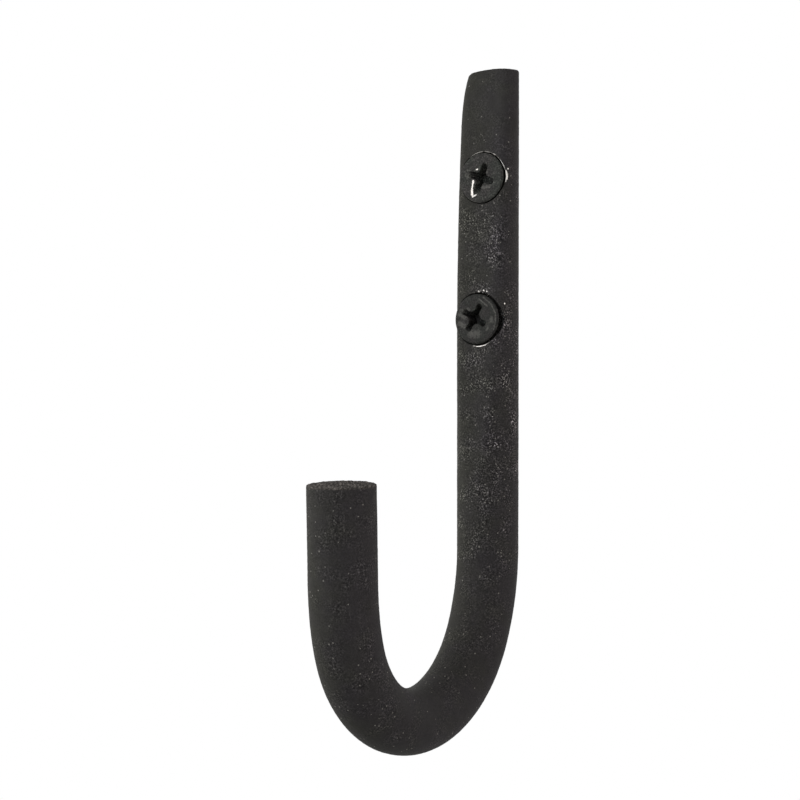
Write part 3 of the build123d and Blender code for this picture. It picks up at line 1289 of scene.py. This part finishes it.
def floor_material():
    """Pale plain floor that keeps a soft shadow and runs out to white."""
    material, tree = new_material("pale_floor")
    pale = node(tree, "ShaderNodeBsdfDiffuse", {"Color": (0.7, 0.7, 0.7, 1)}).outputs[0]
    white = node(tree, "ShaderNodeEmission", {"Strength": 1.0}).outputs[0]
    away = distance_from(tree, object_place(tree), (0.0, 0.0, 0.0))
    white_underfoot, whiter_per_metre = 0.45, 0.5
    run_out = clamped(white_underfoot + away * whiter_per_metre, 0.0, 1.0)
    seen = node(tree, "ShaderNodeMixShader", {0: run_out, 1: pale, 2: white}).outputs[0]
    surface = clear_from_behind(tree, only_seen(tree, seen, pale))
    node(tree, "ShaderNodeOutputMaterial", {"Surface": surface})
    return material


def place_camera(stage):
    """The camera in front, round to the hook's right-hand side."""
    turn, rise = stage.camera_turn, stage.camera_rise
    forward = Vector(
        (-math.sin(turn) * math.cos(rise), math.cos(turn) * math.cos(rise), -math.sin(rise))
    )
    data = bpy.data.cameras.new("camera")
    data.lens = stage.camera_lens
    data.sensor_width = 36.0
    data.clip_start = 0.01
    camera = new_object("camera", data)
    camera.location = Vector(stage.camera_aim) - forward * stage.camera_distance
    upright = forward.to_track_quat("-Z", "Y").to_matrix()
    camera.rotation_euler = (upright @ Matrix.Rotation(stage.camera_roll, 3, "Z")).to_euler()
    bpy.context.scene.camera = camera


class HOOK_OT_stage(bpy.types.Operator):
    """Set up the wall, the floor, the soft lights and the camera"""

    bl_idname = "hook.stage"
    bl_label = "Set the stage"

    def execute(self, context):
        stage = context.scene.hook_stage
        middle = (HOOK_LOW + HOOK_HIGH) / 2
        floor_z = HOOK_LOW.z - stage.floor_gap
        wall_reach, wall_y, floor_reach, lamp_size = 0.6, 0.0002, 20, 0.5
        wall = flat_sheet(
            "wall",
            [
                (-wall_reach, wall_y, floor_z),
                (wall_reach, wall_y, floor_z),
                (wall_reach, wall_y, wall_reach),
                (-wall_reach, wall_y, wall_reach),
            ],
            wall_material(),
        )
        wall.visible_diffuse = False
        wall.visible_shadow = False
        wall.visible_glossy = False
        around = ((-1, -1), (1, -1), (1, 1), (-1, 1))
        corners = [(x * floor_reach, y * floor_reach, floor_z) for x, y in around]
        flat_sheet("floor", corners, floor_material())
        light_world(0.22, (1.0, 0.94, 0.84))

        # Lamps: the name, the way to it from the hook's middle, its watts and its colour.
        for name, away, power, colour in (
            ("key", (-0.70, -0.45, 0.00), 3.45, (1.0, 0.96, 0.92)),
            ("high key", (-0.50, -0.60, 0.40), 0.75, (1.0, 1.0, 1.0)),
            ("front", (0.00, -0.80, 0.45), 1.0, (0.80, 0.90, 1.0)),
            ("side", (0.85, -0.05, 0.20), 1.45, (1.0, 0.91, 0.86)),
        ):
            soft_lamp(name, middle + Vector(away), middle, lamp_size, power, colour)
        place_camera(stage)
        context.scene.view_settings.view_transform = "Standard"
        return {"FINISHED"}


class HOOK_PT_panel(bpy.types.Panel):
    """Buttons and sizes of the towel hook"""

    bl_idname = "HOOK_PT_panel"
    bl_label = "Towel hook"
    bl_space_type = "VIEW_3D"
    bl_region_type = "UI"
    bl_category = "Towel hook"

    def draw(self, context):
        layout = self.layout
        for operator in OPERATORS:
            layout.operator(operator.bl_idname)
        for name, group in PROPERTY_GROUPS.items():
            box = layout.box()
            box.label(text=group.__doc__)
            for size in group.__annotations__:
                box.prop(getattr(context.scene, name), size)


PROPERTY_GROUPS = {
    "hook_bar": BarSizes,
    "hook_screws": ScrewSizes,
    "hook_look": CoatLook,
    "hook_stage": StageLook,
}
OPERATORS = (HOOK_OT_bar, HOOK_OT_screws, HOOK_OT_stage)


def register():
    """Add the sizes, operators and panel."""
    for name, group in PROPERTY_GROUPS.items():
        bpy.utils.register_class(group)
        setattr(bpy.types.Scene, name, PointerProperty(type=group))
    for cls in (*OPERATORS, HOOK_PT_panel):
        bpy.utils.register_class(cls)


def unregister():
    """Take them all away again."""
    for cls in (HOOK_PT_panel, *reversed(OPERATORS)):
        bpy.utils.unregister_class(cls)
    for name, group in reversed(PROPERTY_GROUPS.items()):
        delattr(bpy.types.Scene, name)
        bpy.utils.unregister_class(group)


def main():
    """Make every piece and the stage."""
    register()
    bpy.ops.hook.bar()
    bpy.ops.hook.screws()
    bpy.ops.hook.stage()


if __name__ == "__main__":
    main()
